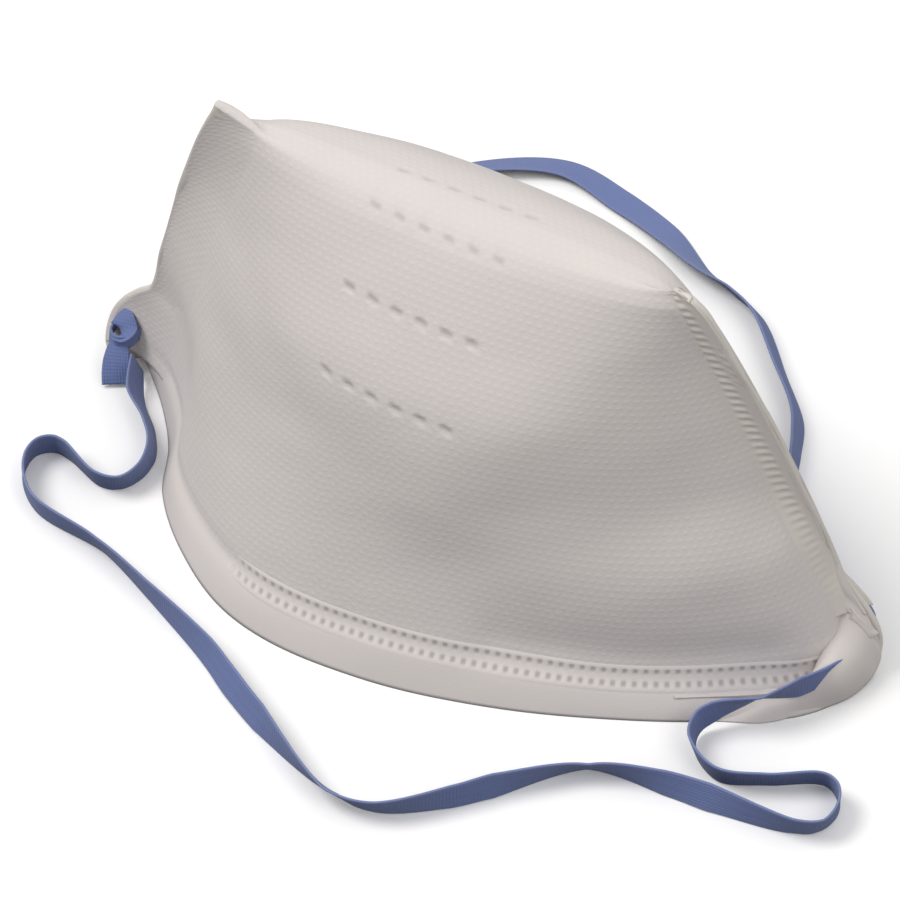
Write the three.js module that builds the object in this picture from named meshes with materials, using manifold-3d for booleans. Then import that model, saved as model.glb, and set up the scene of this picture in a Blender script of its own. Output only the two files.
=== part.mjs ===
import * as THREE from 'three';
import { mergeVertices } from 'three/addons/utils/BufferGeometryUtils.js';
import Module from 'manifold-3d';

const wasm = await Module();
wasm.setup();

// Pouch respirator, opened by hand and standing on its face opening, tip fold upward.
// X runs from tab to tab, Y from the near panel to the far panel, Z up, in millimetres.

// Cloth
const WALL = 1.4;
const SEAM_INSET = 2.6;
const TIP_DROP = 2.5;
const TIP_DROP_FADE = 12;
const FOLD_INWARD = new THREE.Vector2(0.45, -0.9);
const FLANGE_PLY = 1.4;
const FLANGE_LAP = 1.0;
const EAR_LIFT = 1.4;

// Fineness of the sheet
const COLUMNS = 44;
const STATIONS = [
  0, 0.03, 0.07, 0.13, 0.22, 0.32, 0.43, 0.54,
  0.64, 0.73, 0.81, 0.875, 0.915, 0.94, 0.97, 1,
];
const THROUGH_FLOOR = -2;
const PROFILE_STEP = 0.01;
const SAME_POINT = 1e-4;

// Elastic
const STRAP_WIDTH = 6;
const STRAP_THICK = 0.5;
const STRAP_STEPS = 76;
const SLIT_WIDE = 1.9;
const SLIT_LONG = 7.6;

// Names the columns of a short table and gives each row as an object.
function table(columns, rows) {
  return rows.map((row) => Object.fromEntries(columns.map((name, i) => [name, row[i]])));
}

// Middle profile of both panels from the tip fold (w = 0) to the edge of the hem lip (w = 1).
const PROFILE = table(['w', 'nearY', 'nearZ', 'farY', 'farZ'], [
  [0.00, -15.5, 83.0, -15.5, 83.0],
  [0.06, -19.6, 78.8, -9.5, 83.6],
  [0.22, -26.6, 67.6, 1.0, 79.4],
  [0.38, -33.4, 54.2, 12.0, 68.4],
  [0.58, -36.8, 37.0, 23.0, 48.0],
  [0.75, -39.0, 24.0, 29.5, 28.0],
  [0.87, -41.6, 13.5, 33.0, 14.5],
  [0.94, -44.0, 6.6, 35.5, 6.6],
  [1.00, -49.6, 0.0, 41.0, 0.0],
]);

// Side seam, where both panels are welded: half spread, how much further the right side reaches,
// place and fullness of each section.
const SEAM = table(['w', 'x', 'reach', 'y', 'z', 'nearFull', 'farFull'], [
  [0.00, 43.8, 0.0, -12.8, 85.0, 2.6, 2.6],
  [0.06, 46.0, 0.3, -12.0, 80.0, 2.5, 8.0],
  [0.22, 51.0, 1.4, -9.6, 66.5, 2.3, 4.0],
  [0.38, 56.0, 1.8, -7.2, 53.5, 2.2, 2.8],
  [0.58, 62.0, 2.2, -4.2, 36.5, 2.2, 2.4],
  [0.75, 66.6, 2.0, -1.8, 22.5, 2.2, 2.2],
  [0.87, 70.3, 1.2, -0.6, 12.5, 2.2, 2.2],
  [0.94, 72.2, 0.5, 0.0, 6.0, 2.25, 2.2],
  [1.00, 74.0, 0.0, 0.0, 0.0, 2.25, 2.2],
]);

// How far the lower near panel swells out along the hem, left tab to right tab, and the lip beyond it.
const NEAR_SWELL = table(['s', 'panel', 'lip'], [
  [-1.00, 0.0, 0.0],
  [-0.90, -2.5, 0.0],
  [-0.80, -2.5, 0.0],
  [-0.69, 1.0, 0.0],
  [-0.50, 2.5, 0.0],
  [-0.33, 2.8, 0.0],
  [0.00, 0.0, 0.0],
  [0.25, -1.4, 0.0],
  [0.43, -0.6, 0.0],
  [0.60, 2.0, 0.0],
  [0.80, 5.4, 2.2],
  [0.88, 7.2, 3.6],
  [0.95, 7.0, 4.6],
  [0.985, 4.4, 4.4],
  [1.00, 0.0, 0.0],
]);
const SWELL_FROM = 0.5;
const SWELL_FULL = 0.92;
const HEM_WELD = 0.94;

// Welded margin outside the seam: narrow down the side, wide at the strap tab by the hem.
const FLANGE = table(['w', 'left', 'right', 'fore'], [
  [0.00, 3.0, 2.4, 0.0],
  [0.05, 3.6, 3.4, 0.0],
  [0.15, 4.3, 3.9, 0.0],
  [0.30, 4.2, 3.8, 0.0],
  [0.60, 3.5, 3.3, 0.0],
  [0.76, 3.4, 3.3, 0.0],
  [0.80, 5.6, 4.6, 0.0],
  [0.86, 8.0, 6.8, 0.0],
  [0.92, 8.9, 8.2, 0.6],
  [0.97, 7.6, 7.4, 2.2],
  [1.00, 4.6, 4.6, 3.6],
]);
const FLANGE_STATIONS = [
  0, 0.05, 0.15, 0.3, 0.45, 0.6, 0.7, 0.76, 0.78,
  0.8, 0.83, 0.86, 0.89, 0.92, 0.95, 0.98, 1,
];

// Strap openings, one through each tab.
const SLITS = table(['fromX', 'fromY', 'toX', 'toY', 'z'], [
  [-75.9, -4.0, -75.9, 4.0, 8.0],
  [77.9, -4.0, 77.9, 4.0, 7.4],
]);

// Outline of the elastic with rounded edges, as shares of its half width and half thickness.
const STRAP_SECTION = table(['wide', 'thick'], [
  [1.00, 0.4],
  [0.94, 1.0],
  [-0.94, 1.0],
  [-1.00, 0.4],
  [-1.00, -0.4],
  [-0.94, -1.0],
  [0.94, -1.0],
  [1.00, -0.4],
]);

// Elastic from the knot, round the front on the table and in through the right tab.
const FRONT_ROUTE = table(['x', 'y', 'z', 'roll'], [
  [-71.6, -5.9, 4.3, 108],
  [-67.9, -12.2, 3.2, 122],
  [-61.9, -17.4, 3.1, 112],
  [-57.9, -22.8, 3.1, 100],
  [-57.0, -28.8, 3.1, 80],
  [-58.7, -32.6, 3.0, 68],
  [-62.4, -33.7, 3.1, 72],
  [-71.3, -30.4, 3.1, 80],
  [-74.2, -30.3, 3.1, 78],
  [-76.5, -32.5, 3.1, 78],
  [-76.0, -37.5, 3.1, 85],
  [-69.3, -44.4, 3.1, 100],
  [-53.2, -47.3, 3.0, 110],
  [-39.5, -52.5, 3.1, 96],
  [-23.0, -59.4, 3.0, 72],
  [-15.7, -63.6, 3.0, 66],
  [-7.1, -68.1, 3.0, 70],
  [12.5, -76.4, 3.0, 114],
  [20.7, -75.7, 3.0, 110],
  [31.1, -67.2, 3.1, 91],
  [36.3, -61.3, 3.1, 86],
  [48.2, -49.1, 2.8, 124],
  [61.7, -45.9, 3.1, 85],
  [69.5, -45.0, 3.1, 76],
  [85.3, -43.3, 3.0, 108],
  [89.2, -41.0, 3.0, 112],
  [90.0, -36.3, 3.1, 96],
  [88.4, -32.8, 3.1, 84],
  [85.0, -31.4, 3.1, 70],
  [76.5, -36.4, 3.1, 68],
  [68.4, -39.6, 3.1, 72],
  [61.5, -35.7, 3.3, 74],
  [60.3, -31.6, 3.8, 86],
  [62.2, -28.6, 5.2, 96],
  [68.2, -23.6, 7.0, 112],
  [73.2, -18.2, 7.4, 98],
  [76.2, -13.4, 7.6, 92],
  [77.6, -8.8, 7.6, 90],
  [77.9, -4.2, 7.4, 90],
  [77.9, -1.0, 7.4, 90],
]);

// Elastic out at the right tab, round behind on the table and in through the left tab.
const BACK_ROUTE = table(['x', 'y', 'z', 'roll'], [
  [77.9, -0.4, 7.4, 90],
  [77.5, 2.2, 7.2, 90],
  [74.6, 5.4, 6.2, 90],
  [70.0, 8.2, 5.0, 90],
  [64.0, 13.0, 4.0, 90],
  [57.5, 18.9, 3.4, 88],
  [52.0, 24.0, 3.1, 84],
  [47.2, 30.0, 3.1, 78],
  [44.0, 37.4, 3.1, 72],
  [40.5, 44.6, 2.9, 58],
  [32.1, 54.0, 2.5, 46],
  [21.7, 64.7, 2.6, 48],
  [14.8, 68.0, 2.5, 44],
  [6.3, 70.8, 2.2, 34],
  [-4.0, 76.8, 1.2, 12],
  [-16.1, 81.0, 0.6, 2],
  [-29.9, 83.2, 1.2, 14],
  [-44.1, 75.0, 1.8, 26],
  [-54.0, 62.0, 2.6, 48],
  [-62.0, 46.0, 3.1, 70],
  [-69.0, 30.0, 3.4, 84],
  [-74.6, 16.0, 5.6, 90],
  [-75.9, 7.0, 7.6, 90],
  [-75.9, 1.0, 8.0, 90],
  [-75.9, -1.2, 8.0, 90],
]);

// Knot in front of the left tab, stacked level by level, and its square-cut loose end.
const KNOT = table(['z', 'x', 'y', 'halfX', 'halfY'], [
  [12.0, -75.9, -2.1, 0.7, 0.5],
  [11.2, -75.7, -2.6, 2.1, 1.1],
  [9.4, -75.4, -3.3, 2.7, 1.5],
  [7.9, -75.7, -4.1, 1.7, 1.4],
  [6.6, -76.1, -5.0, 2.2, 1.7],
  [5.3, -75.8, -5.7, 1.5, 1.1],
]);
const TAIL = table(['z', 'x', 'y', 'halfX', 'halfY'], [
  [6.1, -75.5, -6.1, 1.3, 0.7],
  [4.9, -74.9, -7.3, 2.4, 0.5],
  [2.6, -74.2, -8.8, 2.6, 0.45],
  [0.5, -73.6, -9.8, 2.7, 0.45],
]);
const LOBE_SIDES = 14;

// Smooth reading of one column between the rows of a table.
function read(rows, key, column, at) {
  const last = rows.length - 2;
  let i = 0;
  while (i < last && at > rows[i + 1][key]) {
    i += 1;
  }
  const slope = (k) => {
    const before = rows[Math.max(k - 1, 0)];
    const after = rows[Math.min(k + 1, rows.length - 1)];
    return (after[column] - before[column]) / (after[key] - before[key]);
  };
  const span = rows[i + 1][key] - rows[i][key];
  const t = (at - rows[i][key]) / span;
  const rise = rows[i + 1][column] - rows[i][column];
  const start = slope(i) * span;
  const end = slope(i + 1) * span;
  const bend = 3 * rise - 2 * start - end;
  const twist = start + end - 2 * rise;
  return rows[i][column] + start * t + bend * t ** 2 + twist * t ** 3;
}

// Middle profile at a station, moved inward by the given wall.
function middle(side, w, wall) {
  const name = side < 0 ? 'near' : 'far';
  const y = read(PROFILE, 'w', `${name}Y`, w);
  const z = read(PROFILE, 'w', `${name}Z`, w);
  const a = Math.max(w - PROFILE_STEP, 0);
  const b = Math.min(w + PROFILE_STEP, 1);
  const dy = read(PROFILE, 'w', `${name}Y`, b) - read(PROFILE, 'w', `${name}Y`, a);
  const dz = read(PROFILE, 'w', `${name}Z`, b) - read(PROFILE, 'w', `${name}Z`, a);
  const own = new THREE.Vector2(side * dz, -side * dy).normalize();
  const clear = THREE.MathUtils.smoothstep(w, 0, PROFILE[1].w);
  const inward = FOLD_INWARD.clone().lerp(own, clear).normalize();
  return { y: y + inward.x * wall, z: z + inward.y * wall };
}

// A point of the sheet: side -1 near or 1 far, s across from -1 to 1, w from tip fold to hem.
function sheetPoint(side, s, w, wall) {
  const inset = wall / WALL;
  const seamX = read(SEAM, 'w', 'x', w) - SEAM_INSET * inset;
  const seamY = read(SEAM, 'w', 'y', w);
  const seamZ = read(SEAM, 'w', 'z', w) - TIP_DROP * inset * (1 - w) ** TIP_DROP_FADE;
  const full = read(SEAM, 'w', side < 0 ? 'nearFull' : 'farFull', w);
  const mid = middle(side, w, wall);
  const bulge = 1 - Math.abs(s) ** full;
  const point = new THREE.Vector3(
    seamX * s + read(SEAM, 'w', 'reach', w) * Math.max(s, 0) ** 2,
    seamY + (mid.y - seamY) * bulge,
    seamZ + (mid.z - seamZ) * bulge,
  );
  if (side < 0) {
    const lean = (seamY - mid.y) * full * Math.abs(s) ** (full - 1) * Math.sign(s);
    const low = THREE.MathUtils.smoothstep(w, SWELL_FROM, SWELL_FULL);
    const hem = THREE.MathUtils.smoothstep(w, HEM_WELD, 1);
    const out = read(NEAR_SWELL, 's', 'panel', s) * low + read(NEAR_SWELL, 's', 'lip', s) * hem;
    const length = Math.hypot(lean, seamX);
    point.x += (out * lean) / length;
    point.y -= (out * seamX) / length;
  }
  return point;
}

// Turns loose triangles into one closed solid.
function closed(triangles) {
  const loose = new THREE.BufferGeometry().setFromPoints(triangles);
  const welded = mergeVertices(loose, SAME_POINT);
  const corners = welded.index.array;
  const kept = [];
  for (let i = 0; i < corners.length; i += 3) {
    const [a, b, c] = corners.slice(i, i + 3);
    if (a !== b && b !== c && c !== a) {
      kept.push(a, b, c);
    }
  }
  return new wasm.Manifold(new wasm.Mesh({
    numProp: 3,
    vertProperties: Float32Array.from(welded.attributes.position.array),
    triVerts: Uint32Array.from(kept),
  }));
}

function quad(list, a, b, c, d) {
  list.push(a, b, c, a, c, d);
}

// Solid through a row of rings with the same number of points, flat at both ends.
function skin(rings) {
  const list = [];
  const sides = rings[0].length;
  for (let k = 0; k + 1 < rings.length; k += 1) {
    for (let i = 0; i < sides; i += 1) {
      const j = (i + 1) % sides;
      quad(list, rings[k][i], rings[k][j], rings[k + 1][j], rings[k + 1][i]);
    }
  }
  const first = rings[0];
  const last = rings[rings.length - 1];
  for (let i = 1; i + 1 < sides; i += 1) {
    list.push(first[0], first[i + 1], first[i]);
    list.push(last[0], last[i], last[i + 1]);
  }
  const body = closed(list);
  return body.volume() < 0 ? closed(list.reverse()) : body;
}

// The pouch as a full solid: both panels, joined at the tip fold and seams, flat underneath.
function pouch(wall) {
  const spread = (i) => Math.sin((i / COLUMNS - 0.5) * Math.PI);
  const across = Array.from({ length: COLUMNS + 1 }, (_, i) => spread(i));
  const rowsOf = (side) => {
    const rows = STATIONS.map((w) => across.map((s) => sheetPoint(side, s, w, wall)));
    if (wall > 0) {
      const foot = rows[rows.length - 1];
      rows.push(foot.map((p) => new THREE.Vector3(p.x, p.y, THROUGH_FLOOR)));
    }
    return rows;
  };
  const near = rowsOf(-1);
  const far = rowsOf(1);
  const list = [];
  for (let j = 0; j + 1 < near.length; j += 1) {
    for (let i = 0; i < COLUMNS; i += 1) {
      quad(list, near[j][i], near[j + 1][i], near[j + 1][i + 1], near[j][i + 1]);
      quad(list, far[j][i], far[j][i + 1], far[j + 1][i + 1], far[j + 1][i]);
    }
  }
  const nearFoot = near[near.length - 1];
  const farFoot = far[far.length - 1];
  for (let i = 0; i < COLUMNS; i += 1) {
    quad(list, nearFoot[i], farFoot[i], farFoot[i + 1], nearFoot[i + 1]);
  }
  return closed(list);
}

// Welded margin and strap tab of one side (hand -1 left, 1 right).
function flange(hand) {
  const half = FLANGE_PLY / 2;
  return skin(FLANGE_STATIONS.map((w) => {
    const x = read(SEAM, 'w', 'x', w) + (hand > 0 ? read(SEAM, 'w', 'reach', w) : 0);
    const y = read(SEAM, 'w', 'y', w);
    const z = read(SEAM, 'w', 'z', w);
    const outer = hand * (x + read(FLANGE, 'w', hand > 0 ? 'right' : 'left', w));
    const inner = hand * (x - FLANGE_LAP);
    const edgeY = y - read(FLANGE, 'w', 'fore', w);
    const edgeZ = w === 0 ? z + EAR_LIFT : z;
    return [
      new THREE.Vector3(inner, y - half, z),
      new THREE.Vector3(outer, edgeY - half, edgeZ),
      new THREE.Vector3(outer, edgeY + half, edgeZ),
      new THREE.Vector3(inner, y + half, z),
    ];
  }));
}

// Upright slot cut along a straight line at a given height.
function slit(row) {
  const from = new THREE.Vector3(row.fromX, row.fromY, row.z);
  const to = new THREE.Vector3(row.toX, row.toY, row.z);
  const along = to.clone().sub(from).normalize();
  const aside = new THREE.Vector3(-along.y, along.x, 0).multiplyScalar(SLIT_WIDE / 2);
  const up = new THREE.Vector3(0, 0, SLIT_LONG / 2);
  return skin([from, to].map((p) => [
    p.clone().sub(aside).sub(up),
    p.clone().add(aside).sub(up),
    p.clone().add(aside).add(up),
    p.clone().sub(aside).add(up),
  ]));
}

// Flat elastic along a route; roll turns its width from lying flat (0) to standing on edge (90).
function ribbon(route, steps) {
  const points = route.map((p) => new THREE.Vector3(p.x, p.y, p.z));
  const path = new THREE.CatmullRomCurve3(points, false, 'centripetal');
  const rings = [];
  for (let k = 0; k <= steps; k += 1) {
    const u = path.getUtoTmapping(k / steps);
    const centre = path.getPoint(u);
    const along = path.getTangent(u);
    const place = u * (route.length - 1);
    const i = Math.min(Math.floor(place), route.length - 2);
    const turn = THREE.MathUtils.lerp(route[i].roll, route[i + 1].roll, place - i);
    const roll = THREE.MathUtils.degToRad(turn);
    const level = new THREE.Vector3(-along.y, along.x, 0).normalize();
    const upright = along.clone().cross(level);
    const across = level.clone().multiplyScalar(Math.cos(roll));
    across.addScaledVector(upright, Math.sin(roll));
    const face = along.clone().cross(across);
    rings.push(STRAP_SECTION.map((p) => centre.clone()
      .addScaledVector(across, (p.wide * STRAP_WIDTH) / 2)
      .addScaledVector(face, (p.thick * STRAP_THICK) / 2)));
  }
  return skin(rings);
}

// Rounded lobe stacked from level ellipses.
function lobe(rows) {
  return skin(rows.map((row) => Array.from({ length: LOBE_SIDES }, (_, i) => {
    const turn = (i / LOBE_SIDES) * 2 * Math.PI;
    const x = row.x + row.halfX * Math.cos(turn);
    const y = row.y + row.halfY * Math.sin(turn);
    return new THREE.Vector3(x, y, row.z);
  })));
}

const shell = [1, -1]
  .reduce((body, hand) => body.add(flange(hand)), pouch(0))
  .subtract(pouch(WALL));
const solids = {
  filter_shell: SLITS.reduce((body, row) => body.subtract(slit(row)), shell),
  front_strap: ribbon(FRONT_ROUTE, STRAP_STEPS),
  back_strap: ribbon(BACK_ROUTE, STRAP_STEPS),
  strap_knot: lobe(KNOT).add(lobe(TAIL)),
};
const LOOKS = {
  filter_shell: { color: 0xd9d4d1, roughness: 0.9, metalness: 0 },
  front_strap: { color: 0x6f80b8, roughness: 0.7, metalness: 0 },
  back_strap: { color: 0x6f80b8, roughness: 0.7, metalness: 0 },
  strap_knot: { color: 0x6f80b8, roughness: 0.7, metalness: 0 },
};

// The frame's origin is under the middle of the shell, on the table.
const reach = solids.filter_shell.boundingBox();
const middleX = (reach.min[0] + reach.max[0]) / 2;
const middleY = (reach.min[1] + reach.max[1]) / 2;

const group = new THREE.Group();
group.name = 'disposable_respirator';
for (const [name, solid] of Object.entries(solids)) {
  const mesh = solid.getMesh();
  const geometry = new THREE.BufferGeometry();
  const corners = Float32Array.from(mesh.vertProperties);
  const triangles = Uint32Array.from(mesh.triVerts);
  geometry.setAttribute('position', new THREE.BufferAttribute(corners, 3));
  geometry.setIndex(new THREE.BufferAttribute(triangles, 1));
  geometry.translate(-middleX, -middleY, 0);
  geometry.computeVertexNormals();
  const piece = new THREE.Mesh(geometry, new THREE.MeshStandardMaterial(LOOKS[name]));
  piece.name = name;
  group.add(piece);
}

export default group;
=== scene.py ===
# %% [markdown]
# # A pouch respirator, opened by hand and standing on a white table
# The mask is two panels of white nonwoven cloth, welded together along the tip fold and both sides. It has
# been opened and stood on its rim, so the tip fold points up and the two tabs reach out to the left and the
# right. One flat blue elastic runs through the right tab, is knotted in the left tab and lies on the table.
# The CAD model fixes every place and size. This lesson makes each soft piece again, finer, where its solid
# is.

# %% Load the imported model
import math

import bmesh
import bpy
import numpy as np
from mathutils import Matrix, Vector


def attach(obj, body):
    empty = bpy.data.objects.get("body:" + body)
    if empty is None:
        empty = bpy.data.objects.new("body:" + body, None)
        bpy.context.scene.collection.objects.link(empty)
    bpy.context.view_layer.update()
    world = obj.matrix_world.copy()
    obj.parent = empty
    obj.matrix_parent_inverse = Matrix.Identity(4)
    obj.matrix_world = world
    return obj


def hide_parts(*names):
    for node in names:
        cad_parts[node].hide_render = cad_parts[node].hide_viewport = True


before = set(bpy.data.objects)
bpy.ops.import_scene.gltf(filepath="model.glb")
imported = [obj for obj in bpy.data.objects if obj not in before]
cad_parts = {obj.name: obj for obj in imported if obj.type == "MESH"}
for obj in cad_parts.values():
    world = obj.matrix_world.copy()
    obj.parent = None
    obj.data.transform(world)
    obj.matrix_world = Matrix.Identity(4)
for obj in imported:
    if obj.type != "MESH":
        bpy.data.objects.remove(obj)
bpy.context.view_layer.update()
MM = 0.001

# %% [markdown]
# ## The camera
# The photograph looks down at the mask from the front right with a long lens: lines that are parallel on
# the object stay almost parallel in the picture. A camera 0.9 m away with a 206 mm lens gives that. It
# comes first, because every later choice is judged through it.

# %% Camera at the photograph's angle
CAMERA_TURN = math.radians(30)
CAMERA_RISE = math.radians(46)
CAMERA_DISTANCE = 0.9
CAMERA_AIM = Vector((0.005, -0.01738, 0.035))
CAMERA_LENS = 206

away = Vector((
    math.sin(CAMERA_TURN) * math.cos(CAMERA_RISE),
    -math.cos(CAMERA_TURN) * math.cos(CAMERA_RISE),
    math.sin(CAMERA_RISE),
))
camera = bpy.data.objects.new("studio_camera", bpy.data.cameras.new("studio_camera"))
camera.data.lens = CAMERA_LENS
camera.data.sensor_width = 36
camera.data.clip_end = 20
camera.location = CAMERA_AIM + away * CAMERA_DISTANCE
camera.rotation_euler = (-away).to_track_quat("-Z", "Y").to_euler()
bpy.context.scene.collection.objects.link(camera)
bpy.context.scene.camera = camera
print("camera at", [round(c, 3) for c in camera.location])

# %% [markdown]
# ## Short tables and one mesh maker
# Every form here is read from a short table with named columns, the same ones that drive the solids. A
# table row is easy to change when a render shows a difference. The tables are in millimetres and measured
# from the line between the two tabs, so SHIFT_Y carries them into the frame, whose origin is under the
# middle of the shell.

# %% Tables, and meshes from points and faces
SHIFT_Y = 4.622
TABLE_TOP = 0


def table(columns, rows):
    return {name: np.array([row[i] for row in rows], float) for i, name in enumerate(columns)}


def make_piece(name, points, faces, flat, marks=None):
    """One object from points and faces; flat gives each point's place on the unrolled cloth, in mm."""
    points = np.column_stack([points[:, :2], np.maximum(points[:, 2], TABLE_TOP)])
    places, welded = np.unique(np.round(points, 5), axis=0, return_inverse=True)
    welded = welded.reshape(-1)
    kept = [f for f in faces if len({welded[i] for i in f}) == len(f)]
    mesh = bpy.data.meshes.new(name)
    placed = (places + (0, SHIFT_Y, 0)) * MM
    mesh.from_pydata(placed.tolist(), [], [[int(welded[i]) for i in f] for f in kept])
    corners = np.array([i for f in kept for i in f])
    layer = mesh.uv_layers.new(name="cloth")
    layer.data.foreach_set("uv", (flat[corners] * 0.01).astype(np.float32).ravel())
    for mark, amount in (marks or {}).items():
        values = np.zeros(len(places), np.float32)
        np.maximum.at(values, welded, amount.astype(np.float32))
        mesh.attributes.new(mark, "FLOAT", "POINT").data.foreach_set("value", values)
    work = bmesh.new()
    work.from_mesh(mesh)
    bmesh.ops.recalc_face_normals(work, faces=work.faces)
    work.to_mesh(mesh)
    work.free()
    mesh.polygons.foreach_set("use_smooth", np.ones(len(mesh.polygons), bool))
    piece = bpy.data.objects.new(name, mesh)
    bpy.context.scene.collection.objects.link(piece)
    print(name, "has", len(mesh.vertices), "points and", len(mesh.polygons), "faces")
    return piece


# %% [markdown]
# ## The elastic
# The strap is a flat knitted elastic, 6 mm wide and half a millimetre thick. It is limp but springy: lying
# loose it stands on its edge and rolls over where it turns. A curve object with a flat bevel could make it,
# but its tilt is hard to steer, so here the section is swept by hand: a route with a roll at each point,
# from flat (0 degrees) to standing on edge (90). The section has shallow lengthwise ribs, as knitted
# elastic has. The places are those of the solids. In the right tab's fold the ribbon is gathered narrow,
# which keeps it under the cloth.

# %% Routes of the elastic
FRONT_ROUTE = table(["x", "y", "z", "roll"], [
    (-71.6, -5.9, 4.3, 108), (-67.9, -12.2, 3.2, 122), (-61.9, -17.4, 3.1, 112), (-57.9, -22.8, 3.1, 100),
    (-57.0, -28.8, 3.1, 80), (-58.7, -32.6, 3.0, 68), (-62.4, -33.7, 3.1, 72), (-71.3, -30.4, 3.1, 80),
    (-74.2, -30.3, 3.1, 78), (-76.5, -32.5, 3.1, 78), (-76.0, -37.5, 3.1, 85), (-69.3, -44.4, 3.1, 100),
    (-53.2, -47.3, 3.0, 110), (-39.5, -52.5, 3.1, 96), (-23.0, -59.4, 3.0, 72), (-15.7, -63.6, 3.0, 66),
    (-7.1, -68.1, 3.0, 70), (12.5, -76.4, 3.0, 126), (20.7, -75.7, 3.0, 116), (31.1, -67.2, 3.1, 91),
    (36.3, -61.3, 3.1, 86), (48.2, -49.1, 2.8, 124), (61.7, -45.9, 3.1, 85), (69.5, -45.0, 3.1, 76),
    (85.3, -43.3, 3.0, 108), (89.2, -41.0, 3.0, 112), (90.0, -36.3, 3.1, 96), (88.4, -32.8, 3.1, 84),
    (85.0, -31.4, 3.1, 70), (76.5, -36.4, 3.1, 68), (68.4, -39.6, 3.1, 72), (61.5, -35.7, 3.3, 74),
    (60.3, -31.6, 3.8, 86), (62.2, -28.6, 5.2, 96), (68.2, -23.6, 7.0, 132), (73.2, -18.2, 7.4, 98),
    (76.2, -13.4, 7.6, 92), (77.6, -8.8, 7.6, 90), (77.9, -4.2, 7.4, 90), (77.9, -1.0, 7.4, 90),
])
BACK_ROUTE = table(["x", "y", "z", "roll"], [
    (77.9, -0.4, 7.4, 90), (77.5, 2.2, 7.2, 90), (74.6, 5.4, 6.2, 90), (70.0, 8.2, 5.0, 90),
    (64.0, 13.0, 4.0, 90), (57.5, 18.9, 3.4, 88), (52.0, 24.0, 3.1, 84), (47.2, 30.0, 3.1, 78),
    (44.0, 37.4, 3.1, 72), (40.5, 44.6, 2.9, 64), (32.1, 54.0, 2.5, 62), (21.7, 64.7, 2.6, 58),
    (14.8, 68.0, 2.5, 60), (6.3, 70.8, 2.2, 44),
    (-4.0, 76.8, 1.2, 12), (-16.1, 81.0, 0.6, 2), (-29.9, 83.2, 1.2, 14), (-44.1, 75.0, 1.8, 26),
    (-54.0, 62.0, 2.6, 48), (-62.0, 46.0, 3.1, 70), (-69.0, 30.0, 3.4, 84), (-74.6, 16.0, 5.6, 90),
    (-75.9, 7.0, 7.6, 90), (-75.9, 1.0, 8.0, 90), (-75.9, -1.2, 8.0, 90),
])
print(len(FRONT_ROUTE["x"]), "points in front and", len(BACK_ROUTE["x"]), "behind")

# %% Smooth line through a route
FINE_STEPS = 60


def smooth_line(route, step):
    """Centripetal curve through the route, in even steps, with the roll read along it."""
    knots = np.stack([route["x"], route["y"], route["z"]], 1)
    ends = np.vstack([2 * knots[0] - knots[1], knots, 2 * knots[-1] - knots[-2]])
    t = np.linspace(0, 1, FINE_STEPS, endpoint=False)[:, None]
    points, turns = [], []
    for i in range(len(knots) - 1):
        p0, p1, p2, p3 = ends[i:i + 4]
        d0, d1, d2 = (max(np.linalg.norm(b - a), 1e-4) ** 0.5 for a, b in ((p0, p1), (p1, p2), (p2, p3)))
        start = ((p1 - p0) / d0 - (p2 - p0) / (d0 + d1) + (p2 - p1) / d1) * d1
        end = ((p2 - p1) / d1 - (p3 - p1) / (d1 + d2) + (p3 - p2) / d2) * d1
        rise = p2 - p1
        points.append(
            p1 + start * t + (3 * rise - 2 * start - end) * t ** 2 + (start + end - 2 * rise) * t ** 3
        )
        turns.append(route["roll"][i] + (route["roll"][i + 1] - route["roll"][i]) * t[:, 0])
    points = np.vstack([*points, knots[-1:]])
    turns = np.append(np.concatenate(turns), route["roll"][-1])
    travelled = np.append(0, np.cumsum(np.linalg.norm(np.diff(points, axis=0), axis=1)))
    even = np.linspace(0, travelled[-1], int(travelled[-1] / step) + 1)
    line = np.stack([np.interp(even, travelled, points[:, k]) for k in range(3)], 1)
    return line, np.interp(even, travelled, turns), even


# %% Flat section with ribs, swept along the line
STRAP_WIDTH = 6.0
STRAP_THICK = 0.5
STRAP_STEP = 0.7
STRAP_RIBS = 9
GATHERED_WIDTH = 2.6
GATHER_FROM = 6.0
GATHER_OVER = 12.0
RIB_HEIGHT = 0.035


def strap_section(wide):
    across = np.linspace(-0.965, 0.965, 37)
    face = STRAP_THICK / 2 - RIB_HEIGHT * (1 - np.cos(across * STRAP_RIBS * math.pi)) / 2
    edge = [(1.0, 0.1), (1.0, -0.1)]
    upper = list(zip(across * wide / 2, face))
    lower = [(a, -b) for a, b in reversed(upper)]
    right = [(wide / 2 * a, b) for a, b in edge]
    left = [(-wide / 2 * a, -b) for a, b in edge]
    return np.array(upper + right + lower + left)


def sweep(line, turns, travelled, wides):
    along = np.gradient(line, axis=0)
    along /= np.linalg.norm(along, axis=1)[:, None]
    level = np.stack([-along[:, 1], along[:, 0], np.zeros(len(line))], 1)
    level /= np.linalg.norm(level, axis=1)[:, None]
    roll = np.radians(turns)[:, None]
    across = level * np.cos(roll) + np.cross(along, level) * np.sin(roll)
    face = np.cross(along, across)
    points, flat = [], []
    for k, wide in enumerate(wides):
        section = strap_section(wide)
        points.append(line[k] + section[:, :1] * across[k] + section[:, 1:] * face[k])
        flat.append(np.stack([section[:, 0], np.full(len(section), travelled[k])], 1))
    sides = len(section)
    faces = [
        (k * sides + i, k * sides + (i + 1) % sides, (k + 1) * sides + (i + 1) % sides, (k + 1) * sides + i)
        for k in range(len(line) - 1) for i in range(sides)
    ]
    last = (len(line) - 1) * sides
    faces.append(tuple(range(sides)))
    faces.append(tuple(range(last, last + sides)))
    return np.vstack(points), faces, np.vstack(flat)


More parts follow.
